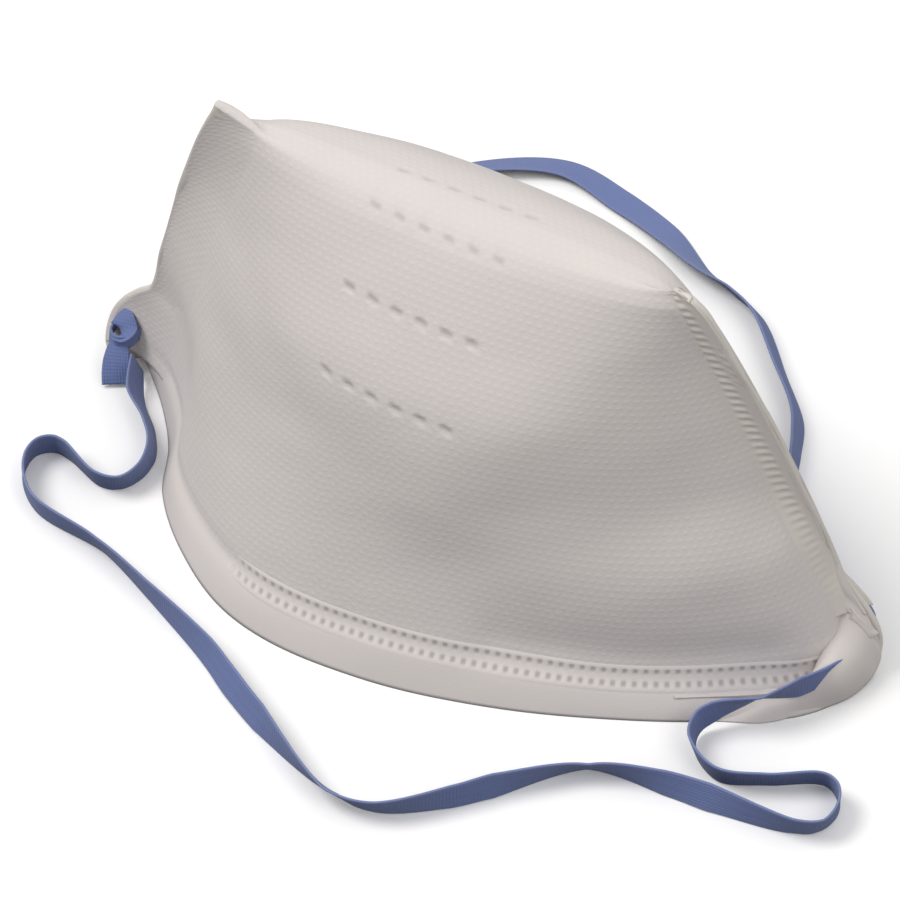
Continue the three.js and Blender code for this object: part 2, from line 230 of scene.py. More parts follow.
def lay_elastic(name, route, tab_end):
    """Full width in the open, gathered near the end (0 first, -1 last) that the right tab's fold hides."""
    line, turns, travelled = smooth_line(route, STRAP_STEP)
    from_tab = np.abs(travelled - travelled[tab_end])
    open_share = np.clip((from_tab - GATHER_FROM) / GATHER_OVER, 0, 1)
    wides = GATHERED_WIDTH + (STRAP_WIDTH - GATHERED_WIDTH) * open_share
    piece = make_piece(name, *sweep(line, turns, travelled, wides))
    path = (line + (0, SHIFT_Y, 0)) * MM
    print(name, "is", round(travelled[-1]), "mm long")
    return piece, path, travelled[-1] * MM


front_elastic, front_path, front_length = lay_elastic("front_elastic", FRONT_ROUTE, -1)
back_elastic, back_path, back_length = lay_elastic("back_elastic", BACK_ROUTE, 0)

# %% [markdown]
# ## The panels
# Both panels are one surface formula: a middle profile from the tip fold (w = 0) down to the edge of the
# hem lip (w = 1), side seams where the panels are welded together, and a fullness that says how squarely
# the cloth swells between them. s runs across from the left seam (-1) to the right (1). A cloth simulation
# could open a flat pouch, but the real one keeps the shape a hand gave it, and a formula can be put exactly
# where the photograph shows it.

# %% Profile, seams and swell of the panels
PROFILE = table(["w", "near_y", "near_z", "far_y", "far_z"], [
    (0.00, -15.5, 83.0, -15.5, 83.0),
    (0.06, -19.6, 78.8, -9.5, 83.6),
    (0.22, -26.6, 67.6, 1.0, 79.4),
    (0.38, -33.4, 54.2, 12.0, 68.4),
    (0.58, -36.8, 37.0, 23.0, 48.0),
    (0.75, -39.0, 24.0, 29.5, 28.0),
    (0.87, -41.6, 13.5, 33.0, 14.5),
    (0.94, -44.0, 6.6, 35.5, 6.6),
    (1.00, -49.6, 0.0, 41.0, 0.0),
])
SEAM = table(["w", "x", "reach", "y", "z", "near_full", "far_full"], [
    (0.00, 43.8, 0.0, -12.8, 85.0, 2.6, 2.6),
    (0.06, 46.0, 0.3, -12.0, 80.0, 2.5, 8.0),
    (0.22, 51.0, 1.4, -9.6, 66.5, 2.3, 4.0),
    (0.38, 56.0, 1.8, -7.2, 53.5, 2.2, 2.8),
    (0.58, 62.0, 2.2, -4.2, 36.5, 2.2, 2.4),
    (0.75, 66.6, 2.0, -1.8, 22.5, 2.2, 2.2),
    (0.87, 70.3, 1.2, -0.6, 12.5, 2.2, 2.2),
    (0.94, 72.2, 0.5, 0.0, 6.0, 2.25, 2.2),
    (1.00, 74.0, 0.0, 0.0, 0.0, 2.25, 2.2),
])
NEAR_SWELL = table(["s", "panel", "lip"], [
    (-1.00, 0.0, 0.0), (-0.90, -2.5, 0.0), (-0.80, -2.5, 0.0), (-0.69, 1.0, 0.0), (-0.50, 2.5, 0.0),
    (-0.33, 2.8, 0.0), (0.00, 0.0, 0.0), (0.25, -1.4, 0.0), (0.43, -0.6, 0.0), (0.60, 2.0, 0.0),
    (0.80, 5.4, 2.2), (0.88, 7.2, 3.2), (0.95, 7.0, 3.0), (0.985, 4.4, 2.8), (1.00, 0.0, 0.0),
])
WALL = 1.4
SEAM_INSET = 2.6
TIP_DROP = 2.5
TIP_DROP_FADE = 12
FOLD_INWARD = np.array([0.45, -0.9])
SWELL_FROM, SWELL_FULL, HEM_WELD = 0.5, 0.92, 0.94
print("profile rows:", len(PROFILE["w"]), "seam rows:", len(SEAM["w"]))


# %% Smooth reading of a table
def read(rows, key, column, at):
    k, v = rows[key], rows[column]
    count = len(k)
    before = np.maximum(np.arange(count) - 1, 0)
    after = np.minimum(np.arange(count) + 1, count - 1)
    slope = (v[after] - v[before]) / (k[after] - k[before])
    i = np.clip(np.searchsorted(k, at) - 1, 0, count - 2)
    span = k[i + 1] - k[i]
    t = (at - k[i]) / span
    rise = v[i + 1] - v[i]
    start, end = slope[i] * span, slope[i + 1] * span
    return v[i] + start * t + (3 * rise - 2 * start - end) * t ** 2 + (start + end - 2 * rise) * t ** 3


def ease(value, low, high):
    t = np.clip((value - low) / (high - low), 0, 1)
    return t * t * (3 - 2 * t)


print("seam half spread at mid height:", round(float(read(SEAM, "w", "x", np.array(0.5))), 1), "mm")


# %% A point of the cloth
def middle(side, w, wall):
    name = "near" if side < 0 else "far"
    low, high = np.maximum(w - 0.01, 0), np.minimum(w + 0.01, 1)
    dy = read(PROFILE, "w", name + "_y", high) - read(PROFILE, "w", name + "_y", low)
    dz = read(PROFILE, "w", name + "_z", high) - read(PROFILE, "w", name + "_z", low)
    own = np.stack([side * dz, -side * dy], -1)
    own /= np.linalg.norm(own, axis=-1, keepdims=True)
    clear = ease(w, 0, PROFILE["w"][1])[..., None]
    inward = FOLD_INWARD * (1 - clear) + own * clear
    inward /= np.linalg.norm(inward, axis=-1, keepdims=True)
    y = read(PROFILE, "w", name + "_y", w) + inward[..., 0] * wall
    return y, read(PROFILE, "w", name + "_z", w) + inward[..., 1] * wall


def panel(side, s, w, wall):
    inset = wall / WALL
    seam_x = read(SEAM, "w", "x", w) - SEAM_INSET * inset
    seam_y = read(SEAM, "w", "y", w)
    seam_z = read(SEAM, "w", "z", w) - TIP_DROP * inset * (1 - w) ** TIP_DROP_FADE
    full = read(SEAM, "w", "near_full" if side < 0 else "far_full", w)
    mid_y, mid_z = middle(side, w, wall)
    bulge = 1 - np.abs(s) ** full
    x = seam_x * s + read(SEAM, "w", "reach", w) * np.maximum(s, 0) ** 2
    y, z = seam_y + (mid_y - seam_y) * bulge, seam_z + (mid_z - seam_z) * bulge
    if side < 0:
        lean = (seam_y - mid_y) * full * np.abs(s) ** (full - 1) * np.sign(s)
        out = read(NEAR_SWELL, "s", "panel", s) * ease(w, SWELL_FROM, SWELL_FULL)
        out = out + read(NEAR_SWELL, "s", "lip", s) * ease(w, HEM_WELD, 1)
        length = np.hypot(lean, seam_x)
        x, y = x + out * lean / length, y - out * seam_x / length
    return np.stack([x, y, z], -1)


print("middle of the near hem:", panel(-1, np.array(0.0), np.array(1.0), 0).round(1))

# %% [markdown]
# ## What a hand and a welding press leave in the cloth
# Opening the pouch leaves broad soft dents and a few soft folds, and the press leaves three rows of six
# oblong marks below the tip fold on each panel, and a hollow line where the hem is welded. All of these are
# small moves of the surface along its own outward direction, so they are added up as one height in
# millimetres. A sculpt brush could make them too; a table can be measured and repeated.

# %% Marks and soft dents
MARK_ROWS = table(["side", "drop", "centre", "depth"], [
    (-1, 2.8, -0.2, 0.45), (-1, 18.4, -0.7, 0.5), (-1, 34.9, -1.5, 0.5),
    (1, 7.3, 0.8, 0.3), (1, 22.9, 0.8, 0.4), (1, 39.2, 0.8, 0.4),
])
MARK_PITCH = 4.9
MARKS = 6
MARK_TILT = 0.045

SOFT_FORMS = table(["side", "x", "z", "reach_x", "reach_z", "lean", "push"], [
    (-1, -49, 30, 10, 12, 0.0, 1.3),
    (-1, 56, 38, 8, 13, 0.2, 0.9),
    (-1, 49, 74, 6, 10, -0.2, -0.7),
    (1, -20, 50, 14, 18, 0.2, 0.8),
    (1, 26, 38, 12, 16, -0.2, -0.8),
])
SOFT_FOLDS = table(["side", "x", "z", "to_x", "to_z", "reach", "push"], [
    (-1, 48, 84, 8, 40, 10, 1.2),
    (-1, 62, 28, 30, 24, 9, 1.9),
    (-1, 66, 10, 24, 10, 5, -1.6),
    (-1, -45, 82, -45, 56, 5, -0.5),
    (-1, -39, 60, -21, 44, 6, -0.45),
])


def press_marks(side, points, w):
    """Depth of the press marks in mm, 0 outside them."""
    heights = np.linspace(0, 1, 400)
    y, z = middle(side, heights, 0)
    fallen = np.append(0, np.cumsum(np.hypot(np.diff(y), np.diff(z))))
    drop = np.interp(w, heights, fallen)
    depth = np.zeros(w.shape)
    for row in np.flatnonzero(MARK_ROWS["side"] == side):
        for k in range(MARKS):
            place = (k - (MARKS - 1) / 2) * MARK_PITCH
            across = points[..., 0] - MARK_ROWS["centre"][row] - place
            down = drop - MARK_ROWS["drop"][row] - MARK_TILT * place - 0.16 * across
            mark = np.exp(-(across / 1.15) ** 4 - (down / 0.58) ** 4)
            depth = np.maximum(depth, MARK_ROWS["depth"][row] * mark)
    return depth


def soft_height(side, points, s, w):
    height = np.zeros(w.shape)
    for k in np.flatnonzero(SOFT_FORMS["side"] == side):
        form = {name: column[k] for name, column in SOFT_FORMS.items()}
        down = points[..., 2] - form["z"]
        across = points[..., 0] - form["x"] - form["lean"] * down
        height += form["push"] * np.exp(-(across / form["reach_x"]) ** 2 - (down / form["reach_z"]) ** 2)
    for k in np.flatnonzero(SOFT_FOLDS["side"] == side):
        fold = {name: column[k] for name, column in SOFT_FOLDS.items()}
        run, fall = fold["to_x"] - fold["x"], fold["to_z"] - fold["z"]
        from_x, from_z = points[..., 0] - fold["x"], points[..., 2] - fold["z"]
        share = np.clip((from_x * run + from_z * fall) / (run ** 2 + fall ** 2), 0, 1)
        away = np.hypot(from_x - share * run, from_z - share * fall)
        height += fold["push"] * np.exp(-(away / fold["reach"]) ** 2) * (1 - 0.5 * share)
    x, z = points[..., 0], points[..., 2]
    ripple = np.sin(0.23 * x + 0.9 * np.sin(0.11 * z)) * np.sin(0.19 * z + 0.6 + 0.7 * np.sin(0.13 * x))
    ripple += 0.6 * np.sin(0.41 * x - 0.27 * z + 1.3) * np.sin(0.33 * z + 0.15 * x)
    height += 0.05 * ripple
    height -= 0.45 * np.exp(-((w - HEM_WELD) / 0.016) ** 2)
    return height * ease(1 - np.abs(s), 0, 0.06) * ease(w, 0, 0.05)


print(len(MARK_ROWS["drop"]), "rows of", MARKS, "marks on both panels")


# %% The finished outer surface
def outward(side, s, w):
    step = 1e-3
    across = panel(side, np.minimum(s + step, 1), w, 0) - panel(side, np.maximum(s - step, -1), w, 0)
    down = panel(side, s, np.minimum(w + step, 1), 0) - panel(side, s, np.maximum(w - step, 0), 0)
    normal = np.cross(down, across) if side < 0 else np.cross(across, down)
    return normal / np.linalg.norm(normal, axis=-1, keepdims=True)


def outer_cloth(side, s, w):
    points = panel(side, s, w, 0)
    marks = press_marks(side, points, w)
    height = soft_height(side, points, s, w) - marks
    height *= ease(points[..., 2], 0, 3)
    return points + outward(side, s, w) * height[..., None], 2 * marks


# %% Grids over both panels
COLUMNS = 320
INNER_COLUMNS = 160
FOLD_ROWS = np.arange(0, 0.1, 0.005)
UPPER_ROWS = np.arange(0.1, 0.45, 0.006)
LOWER_ROWS = np.arange(0.45, 0.9, 0.014)
HEM_ROWS = np.linspace(0.9, 1, 22)

rows_w = np.concatenate([FOLD_ROWS, UPPER_ROWS, LOWER_ROWS, HEM_ROWS])
turn = np.linspace(-0.5, 0.5, COLUMNS + 1)
columns_s = 0.5 * np.sin(turn * math.pi) + turn
S, W = np.meshgrid(columns_s, rows_w)
near_cloth, near_marks = outer_cloth(-1, S, W)
far_cloth, far_marks = outer_cloth(1, S, W)
print("rows:", len(rows_w), "columns:", COLUMNS + 1)

# %% A rounded tip fold
FOLD_ROUNDS = 36
FOLD_REACH = 9

crown = np.concatenate([far_cloth[:0:-1], near_cloth])
fold = len(rows_w) - 1
weight = np.clip(1 - np.abs(np.arange(len(crown)) - fold) / FOLD_REACH, 0, 1)[:, None, None]
weight = weight * ease(1 - np.abs(columns_s), 0, 0.25)[None, :, None]
for _ in range(FOLD_ROUNDS):
    between = (np.roll(crown, 1, 0) + np.roll(crown, -1, 0)) / 2
    crown = crown + 0.5 * weight * (between - crown)
near_cloth, far_cloth = crown[fold:], crown[fold::-1]
print("tip fold now at height", round(float(near_cloth[0, COLUMNS // 2, 2]), 1), "mm")


# %% One closed shell from four grids and a rim
def unrolled(points, towards_far):
    """Each point's distance across from the middle and down from the tip fold, in mm."""
    steps = np.linalg.norm(np.diff(points, axis=1), axis=2)
    across = np.concatenate([np.zeros((len(points), 1)), np.cumsum(steps, 1)], 1)
    across -= across[:, [points.shape[1] // 2]]
    falls = np.linalg.norm(np.diff(points, axis=0), axis=2)
    down = np.concatenate([np.zeros((1, points.shape[1])), np.cumsum(falls, 0)], 0)
    return np.stack([across, down * (-1 if towards_far else 1)], -1)


def grid_faces(first, rows, columns, flip):
    j, i = np.meshgrid(np.arange(rows - 1), np.arange(columns - 1), indexing="ij")
    a = first + j * columns + i
    quads = np.stack([a, a + columns, a + columns + 1, a + 1], -1).reshape(-1, 4)
    return (quads[:, ::-1] if flip else quads).tolist()


inner_s = columns_s[::COLUMNS // INNER_COLUMNS]
inner_w = rows_w[::3]
inner_w[-1] = 1
SI, WI = np.meshgrid(inner_s, inner_w)
grids = [near_cloth, far_cloth, panel(-1, SI, WI, WALL), panel(1, SI, WI, WALL)]
marks = [near_marks, far_marks, np.zeros(WI.shape), np.zeros(WI.shape)]
points, faces, flats, starts = [], [], [], []
for k, grid in enumerate(grids):
    starts.append(sum(len(p) for p in points))
    faces += grid_faces(starts[k], grid.shape[0], grid.shape[1], k in (1, 2))
    flats.append(unrolled(grid, k in (1, 3)).reshape(-1, 2))
    points.append(grid.reshape(-1, 3))
for outer, inner in ((0, 2), (1, 3)):
    o = starts[outer] + (len(rows_w) - 1) * (COLUMNS + 1)
    i = starts[inner] + (len(inner_w) - 1) * (INNER_COLUMNS + 1)
    for k in range(INNER_COLUMNS):
        faces += [(o + 2 * k, i + k, o + 2 * k + 1), (o + 2 * k + 1, i + k, i + k + 1)]
        faces.append((o + 2 * k + 1, i + k + 1, o + 2 * k + 2))
shell = make_piece(
    "pouch_shell", np.vstack(points), faces, np.vstack(flats),
    {
        "pressed": np.concatenate([m.ravel() for m in marks]),
        "plain": np.concatenate([ease(w, HEM_WELD - 0.01, HEM_WELD + 0.01).ravel() for w in (W, W, WI, WI)]),
        # painted shade: the hem lip is mixed greyer near its middle, where the light leaves it darker
        "lip_painted_shade": np.concatenate([
            (ease(w, HEM_WELD, HEM_WELD + 0.02) * np.exp(-((s - 0.15) / 0.5) ** 2)).ravel()
            for s, w in ((S, W), (S, W), (SI, WI), (SI, WI))
        ]),
    },
)

# %% [markdown]
# ## The welded hem
# Round the foot the cloth layers are joined by a double row of small welded squares. They are under a
# millimetre, too fine for the shell's grid, so a narrow band of much finer cloth lies on the shell there.
# Its long edges dip below the shell's surface, which hides where it starts and ends.

# %% A thin closed sheet over a grid of points
def sheet_piece(name, grid, ply, marks):
    across, down = np.gradient(grid, axis=1), np.gradient(grid, axis=0)
    normal = np.cross(down, across)
    normal /= np.linalg.norm(normal, axis=-1, keepdims=True)
    rows, cols = grid.shape[:2]
    count = rows * cols
    both = np.vstack([grid.reshape(-1, 3), (grid - normal * ply).reshape(-1, 3)])
    faces = grid_faces(0, rows, cols, False) + grid_faces(count, rows, cols, True)
    rim = [(0, i) for i in range(cols)] + [(j, cols - 1) for j in range(1, rows)]
    rim += [(rows - 1, i) for i in range(cols - 2, -1, -1)] + [(j, 0) for j in range(rows - 2, 0, -1)]
    loop = [j * cols + i for j, i in rim]
    faces += [(a, b, b + count, a + count) for a, b in zip(loop, loop[1:] + loop[:1])]
    flat = unrolled(grid, False).reshape(-1, 2)
    doubled = {mark: np.tile(amount.ravel(), 2) for mark, amount in marks.items()}
    return make_piece(name, both, faces, np.vstack([flat, flat]), doubled)


# %% Bands of welded squares
WELD_PITCH = 1.9
WELD_ROWS = 2.1
WELD_DEPTH = 0.16
BAND_HALF = 3.2
BAND_STEP = 0.21
BAND_PLY = 0.5
PANEL_LENGTH = 108
SQUARE_SHADE = 1.6


def weld_band(name, side, from_s):
    s = np.linspace(from_s, 0.985, 1100)
    line = panel(side, s, np.full(s.shape, HEM_WELD), 0)
    travelled = np.append(0, np.cumsum(np.linalg.norm(np.diff(line, axis=0), axis=1)))
    even = np.arange(0, travelled[-1], BAND_STEP)
    s = np.interp(even, travelled, s)
    aside = np.arange(-BAND_HALF, BAND_HALF + 0.01, 0.26)
    SB, AB = np.meshgrid(s, aside)
    WB = HEM_WELD + AB / PANEL_LENGTH
    cloth, _ = outer_cloth(side, SB, WB)
    along = (np.broadcast_to(even, SB.shape) / WELD_PITCH) % 1 - 0.5
    beside = np.abs(AB) - WELD_ROWS / 2
    square = np.exp(-(along * WELD_PITCH / 0.46) ** 4 - (beside / 0.45) ** 4)
    ends = ease(np.minimum(0.1 * even, even[-1] - even), 0, 2)
    square = square * ends
    rise = 0.24 - 0.55 * ease(np.abs(AB), BAND_HALF - 1.7, BAND_HALF) - WELD_DEPTH * square
    rise = rise - 0.4 * (1 - ends)[None, :]
    cloth = cloth + outward(side, SB, WB) * rise[..., None]
    if side > 0:
        cloth, square = cloth[::-1], square[::-1]
    marks = {"pressed": SQUARE_SHADE * square, "plain": np.ones(square.shape)}
    return sheet_piece(name, cloth, BAND_PLY, marks)


near_weld = weld_band("near_hem_weld", -1, -0.5)
far_weld = weld_band("far_hem_weld", 1, -0.985)

# %% [markdown]
# ## The welded side margins and tabs
# Outside each side seam the two panels are pressed into one narrow margin. It widens at the foot into the
# tab that holds the elastic. A flat strip with a rounded outer edge follows the seam; short slanting ridges
# beside the seam are the marks of the welding wheel.

# %% Margins
MARGIN = table(["w", "left", "right", "fore"], [
    (0.00, 3.0, 2.4, 0.0), (0.05, 3.6, 3.4, 0.0), (0.15, 4.3, 3.9, 0.0), (0.30, 4.2, 3.8, 0.0),
    (0.60, 3.5, 3.3, 0.0), (0.76, 3.4, 3.3, 0.0), (0.80, 5.6, 4.6, 0.0), (0.86, 8.0, 6.8, 0.0),
    (0.92, 8.9, 8.2, 0.6), (0.97, 7.6, 7.4, 2.2), (1.00, 4.6, 4.6, 3.6),
])
MARGIN_PLY = 1.4
MARGIN_LAP = 1.0
EAR_LIFT = {-1: 1.4, 1: -1.2}
MARGIN_ROWS = 420
MARGIN_SIDES = 40
RIDGE_PITCH = 2.1
MARGIN_WAVE = 0.3
WAVE_RATE = 0.21
EAR_FADE = 0.02


def seam_line(hand, w):
    x = hand * read(SEAM, "w", "x", w) + (read(SEAM, "w", "reach", w) if hand > 0 else 0)
    return np.stack([x, read(SEAM, "w", "y", w), read(SEAM, "w", "z", w)], -1)


def margin(name, hand):
    w = np.linspace(0, 1, MARGIN_ROWS)
    seam = seam_line(hand, w)
    wide = read(MARGIN, "w", "left" if hand < 0 else "right", w)
    fore = read(MARGIN, "w", "fore", w)
    travelled = np.append(0, np.cumsum(np.linalg.norm(np.diff(seam, axis=0), axis=1)))
    turn = np.linspace(0, 2 * math.pi, MARGIN_SIDES, endpoint=False)
    reach = np.sign(np.cos(turn)) * np.abs(np.cos(turn)) ** 0.5
    thick = np.sign(np.sin(turn)) * np.abs(np.sin(turn)) ** 0.6
    span = (wide + MARGIN_LAP)[:, None] / 2
    out = -MARGIN_LAP + span * (1 + reach)
    share = np.clip(out / wide[:, None], 0, 1)
    ridge = np.sin(2 * math.pi * (travelled[:, None] + 0.7 * out) / RIDGE_PITCH)
    ridge = 0.16 * ridge * np.exp(-((out - 1.1) / 0.7) ** 4) * ease(0.74 - w, 0, 0.2)[:, None]
    ply = MARGIN_PLY / 2 * (1 + 0.12 * np.sin(0.5 * travelled)[:, None] * share) + ridge
    x = seam[:, :1] + hand * out
    wave = MARGIN_WAVE * np.sin(WAVE_RATE * travelled + hand)[:, None]
    y = seam[:, 1:2] - fore[:, None] * share + ply * thick + wave * share
    z = seam[:, 2:] + EAR_LIFT[hand] * share * np.exp(-w / EAR_FADE)[:, None]
    grid = np.stack([x, y, z], -1)
    flat = np.stack([out, np.broadcast_to(travelled[:, None], out.shape)], -1)
    sides = MARGIN_SIDES
    faces = [
        (k * sides + i, k * sides + (i + 1) % sides, (k + 1) * sides + (i + 1) % sides, (k + 1) * sides + i)
        for k in range(MARGIN_ROWS - 1) for i in range(sides)
    ]
    last = (MARGIN_ROWS - 1) * sides
    faces += [tuple(range(sides)), tuple(range(last, last + sides))]
    return make_piece(name, grid.reshape(-1, 3), faces, flat.reshape(-1, 2))


left_margin = margin("left_margin", -1)
right_margin = margin("right_margin", 1)

# %% [markdown]
# ## Soft joins between panel and margin
# On the left and at the back the cloth runs from the panel into the margin in one soft hollow, with no hard
# line. A strip of cloth bridges each corner: it leaves the panel along the panel's own slope and ends flat
# on the margin. The strip climbs one panel, turns over the ear and goes down the other, so the ear is
# closed as well. Each row is one bent curve with three handles. On the right, where the weld shows, the
# strip carries small slanting ridges.

# %% Bridging strips
JOIN_COLUMNS = 26
JOIN_ROWS = 260
JOIN_TURN = 8
JOIN_RIDGE = 0.14
EAR_FULL = (0, 1.8, 0.8)
JOIN_SINK = {-1: 0.0, 1: 2.0}
JOIN_PLY = 0.35
SLOPE_STEP = 0.02
LEAST_SLOPE = 1e-3
OFF_SEAM = 0.8
REST_OFF = 0.74
REST_INSIDE = 0.3
DIP_LEAST = 0.2
DIP_MOST = 0.6
EAR_REACH = 0.12


def on_cloth(side, s, w):
    """Points of the finished outer surface along one line of constant s."""
    cloth = near_cloth if side < 0 else far_cloth
    right = np.searchsorted(columns_s, s)
    share = (s - columns_s[right - 1]) / (columns_s[right] - columns_s[right - 1])
    line = (1 - share) * cloth[:, right - 1] + share * cloth[:, right]
    return np.stack([np.interp(w, rows_w, line[:, axis]) for axis in range(3)], -1)


def bridge(side, hand, start, w):
    leave = on_cloth(side, hand * start, w)
    slope = on_cloth(side, hand * (start + SLOPE_STEP), w) - on_cloth(side, hand * (start - SLOPE_STEP), w)
    seam = seam_line(hand, w)
    wide = read(MARGIN, "w", "left" if hand < 0 else "right", w)
    fore = read(MARGIN, "w", "fore", w)
    steep = np.where(np.abs(slope[:, 1]) < LEAST_SLOPE, -LEAST_SLOPE * side, slope[:, 1])
    run = (seam[:, 1] + OFF_SEAM * side - leave[:, 1]) / steep
    limit = hand * (seam[:, 0] + DIP_MOST * hand * wide - leave[:, 0])
    limit = limit / np.maximum(hand * slope[:, 0], LEAST_SLOPE)
    dip = leave + slope * np.clip(run, DIP_LEAST * limit, limit)[:, None]
    ear = EAR_LIFT[hand] * np.exp(-w / EAR_FADE)
    end = seam + np.stack([hand * (wide - REST_INSIDE), REST_OFF * side - fore, ear], -1)
    if side > 0:
        full = np.exp(-(w / EAR_REACH) ** 2)[:, None]
        dip = dip * (1 - full) + ((leave + end) / 2 + np.array(EAR_FULL)) * full
    leave = leave - 0.1 * outward(side, np.full(w.shape, hand * start), w)
    leave[:, 2] -= 0.9 * np.exp(-w / 0.015)
    t = np.linspace(0, 1, JOIN_COLUMNS)[None, :, None]
    strip = leave[:, None] * (1 - t) ** 2 + 2 * dip[:, None] * t * (1 - t) + end[:, None] * t ** 2
    strip[..., 1] -= JOIN_SINK[hand] * side * ease(w, w[-1] - 0.2, w[-1])[:, None]
    return strip


def soft_join(name, hand, near_start, far_start, foot, ridge, plain):
    w = np.linspace(0.002, foot, JOIN_ROWS)
    near, far = bridge(-1, hand, near_start, w), bridge(1, hand, far_start, w)
    t = np.linspace(0, 1, JOIN_COLUMNS)
    beside = np.outer(w * PANEL_LENGTH / RIDGE_PITCH, np.ones(JOIN_COLUMNS)) + 0.8 * t
    ticks = ridge * np.sin(2 * math.pi * beside) * np.exp(-((t - 0.42) / 0.2) ** 4)
    ticks = ticks * ease(0.85 - w, 0, 0.1)[:, None]
    near[..., 1] -= ticks
    turn = np.linspace(0, 1, JOIN_TURN + 2)[1:-1, None, None]
    over = near[:1] * (1 - turn) + far[:1] * turn
    over[..., 2] += 0.5 * np.sin(math.pi * turn[..., 0]) * t
    grid = np.concatenate([near[::-1], over, far])
    grid = grid[:, ::-1] if hand > 0 else grid
    return sheet_piece(name, grid, JOIN_PLY, {"plain": np.full(grid.shape[:2], plain)})


left_join = soft_join("left_join", -1, 0.8, 0.8, 0.97, 0, 0.0)
right_join = soft_join("right_join", 1, 0.95, 0.95, 0.86, JOIN_RIDGE, 1.0)

# %% [markdown]
# ## The collar round the right tab
# At the right end the hem lip does not stop at the seam: it goes on round the tab as one soft collar, and
# the elastic slips in under its upper edge. The collar is a strip between two lines, the crease above and
# the free edge below, puffed a little between them. Behind the crease it is tucked down into the hollow, so
# no gap shows there.

# %% Collar
COLLAR = table(["x", "y", "z", "edge_x", "edge_y", "edge_z", "puff"], [
    (53.4, -27.4, 3.8, 54.4, -29.9, 0.4, 0.0),
    (62.2, -21.8, 3.8, 64.0, -25.6, 0.1, 0.0),
    (67.2, -18.6, 4.0, 69.4, -22.6, 0.1, 0.2),
    (72.2, -16.6, 5.4, 74.0, -17.6, 0.1, 0.5),
    (75.7, -13.2, 9.2, 78.8, -11.6, 0.3, 1.3),
    (75.6, -8.8, 10.6, 80.7, -6.4, 0.7, 1.8),
    (75.0, -5.4, 11.6, 81.2, -3.4, 2.2, 1.9),
    (73.8, -3.4, 13.2, 81.3, -2.2, 5.0, 1.6),
    (72.2, -2.8, 15.0, 80.2, -1.9, 8.6, 1.0),
    (71.2, -2.6, 18.0, 78.0, -1.9, 12.6, 0.8),
    (70.3, -2.7, 21.4, 75.4, -2.2, 17.0, 0.4),
    (69.4, -2.4, 25.0, 72.2, -2.0, 22.4, 0.1),
])
COLLAR_ROWS = 200
COLLAR_COLUMNS = 30
TUCK_COLUMNS = 10
TUCK_IN = 3.4
TUCK_DEPTH = 6.0
TUCK_FLAT = 0.6
COLLAR_PLY = 1.2
SWELL_SKEW = 0.75
PLEAT_HEIGHT = 0.22
PLEAT_TURN = 34
PLEAT_DRIFT = 1.2
DRIFT_TURN = 9


def even_table(rows, count):
    """Every column of a table read in even steps from its first row to its last."""
    keyed = {"step": np.linspace(0, 1, len(rows["x"])), **rows}
    return {name: read(keyed, "step", name, np.linspace(0, 1, count)) for name in rows}


collar_rows = even_table(COLLAR, COLLAR_ROWS)
crease = np.stack([collar_rows[k] for k in ("x", "y", "z")], 1)
edge = np.stack([collar_rows[k] for k in ("edge_x", "edge_y", "edge_z")], 1)
facing = np.cross(np.gradient(crease, axis=0), edge - crease)
facing /= np.linalg.norm(facing, axis=1)[:, None]
t = np.linspace(0, 1, COLLAR_COLUMNS)[None, :, None]
swell = np.sin(math.pi * np.linspace(0, 1, COLLAR_COLUMNS) ** SWELL_SKEW)[None, :, None]
drift = PLEAT_DRIFT * np.sin(np.linspace(0, DRIFT_TURN, COLLAR_ROWS))
pleat = PLEAT_HEIGHT * np.sin(np.linspace(0, PLEAT_TURN, COLLAR_ROWS) + drift)
lift = collar_rows["puff"] + pleat * ease(collar_rows["puff"], 0.3, 0.8)
collar_grid = crease[:, None] * (1 - t) + edge[:, None] * t - facing[:, None] * swell * lift[:, None, None]
inward = (crease - edge) * (1, 1, 0)
inward /= np.linalg.norm(inward, axis=1)[:, None]
turn = np.linspace(math.pi / 2, 0, TUCK_COLUMNS, endpoint=False)[None, :, None]
deep = ease(collar_rows["puff"], 0.5, 1.2)[:, None, None]
up = np.array((0, 0, 1.0))
fold_in = TUCK_IN * np.sin(turn) * inward[:, None] - TUCK_DEPTH * (1 - np.cos(turn)) * up
tuck = crease[:, None] + deep * fold_in
tuck -= (1 - deep) * turn * TUCK_FLAT * up
collar_grid = np.concatenate([tuck, collar_grid], axis=1)
plain_cloth = {"plain": np.ones(collar_grid.shape[:2])}
collar = sheet_piece("right_collar", collar_grid[:, ::-1], COLLAR_PLY, plain_cloth)
print("collar", round(np.linalg.norm(np.diff(crease, axis=0), axis=1).sum()), "mm along its crease")

# %% [markdown]
# ## The knot
# In front of the left tab the elastic is pulled into a flat overhand knot: a puffed loop above, a tight
# turn round the middle and a square-cut end hanging in front. Each is the same ribbed ribbon, swept along
# its own short route with its own width, because elastic narrows where a knot squeezes it.

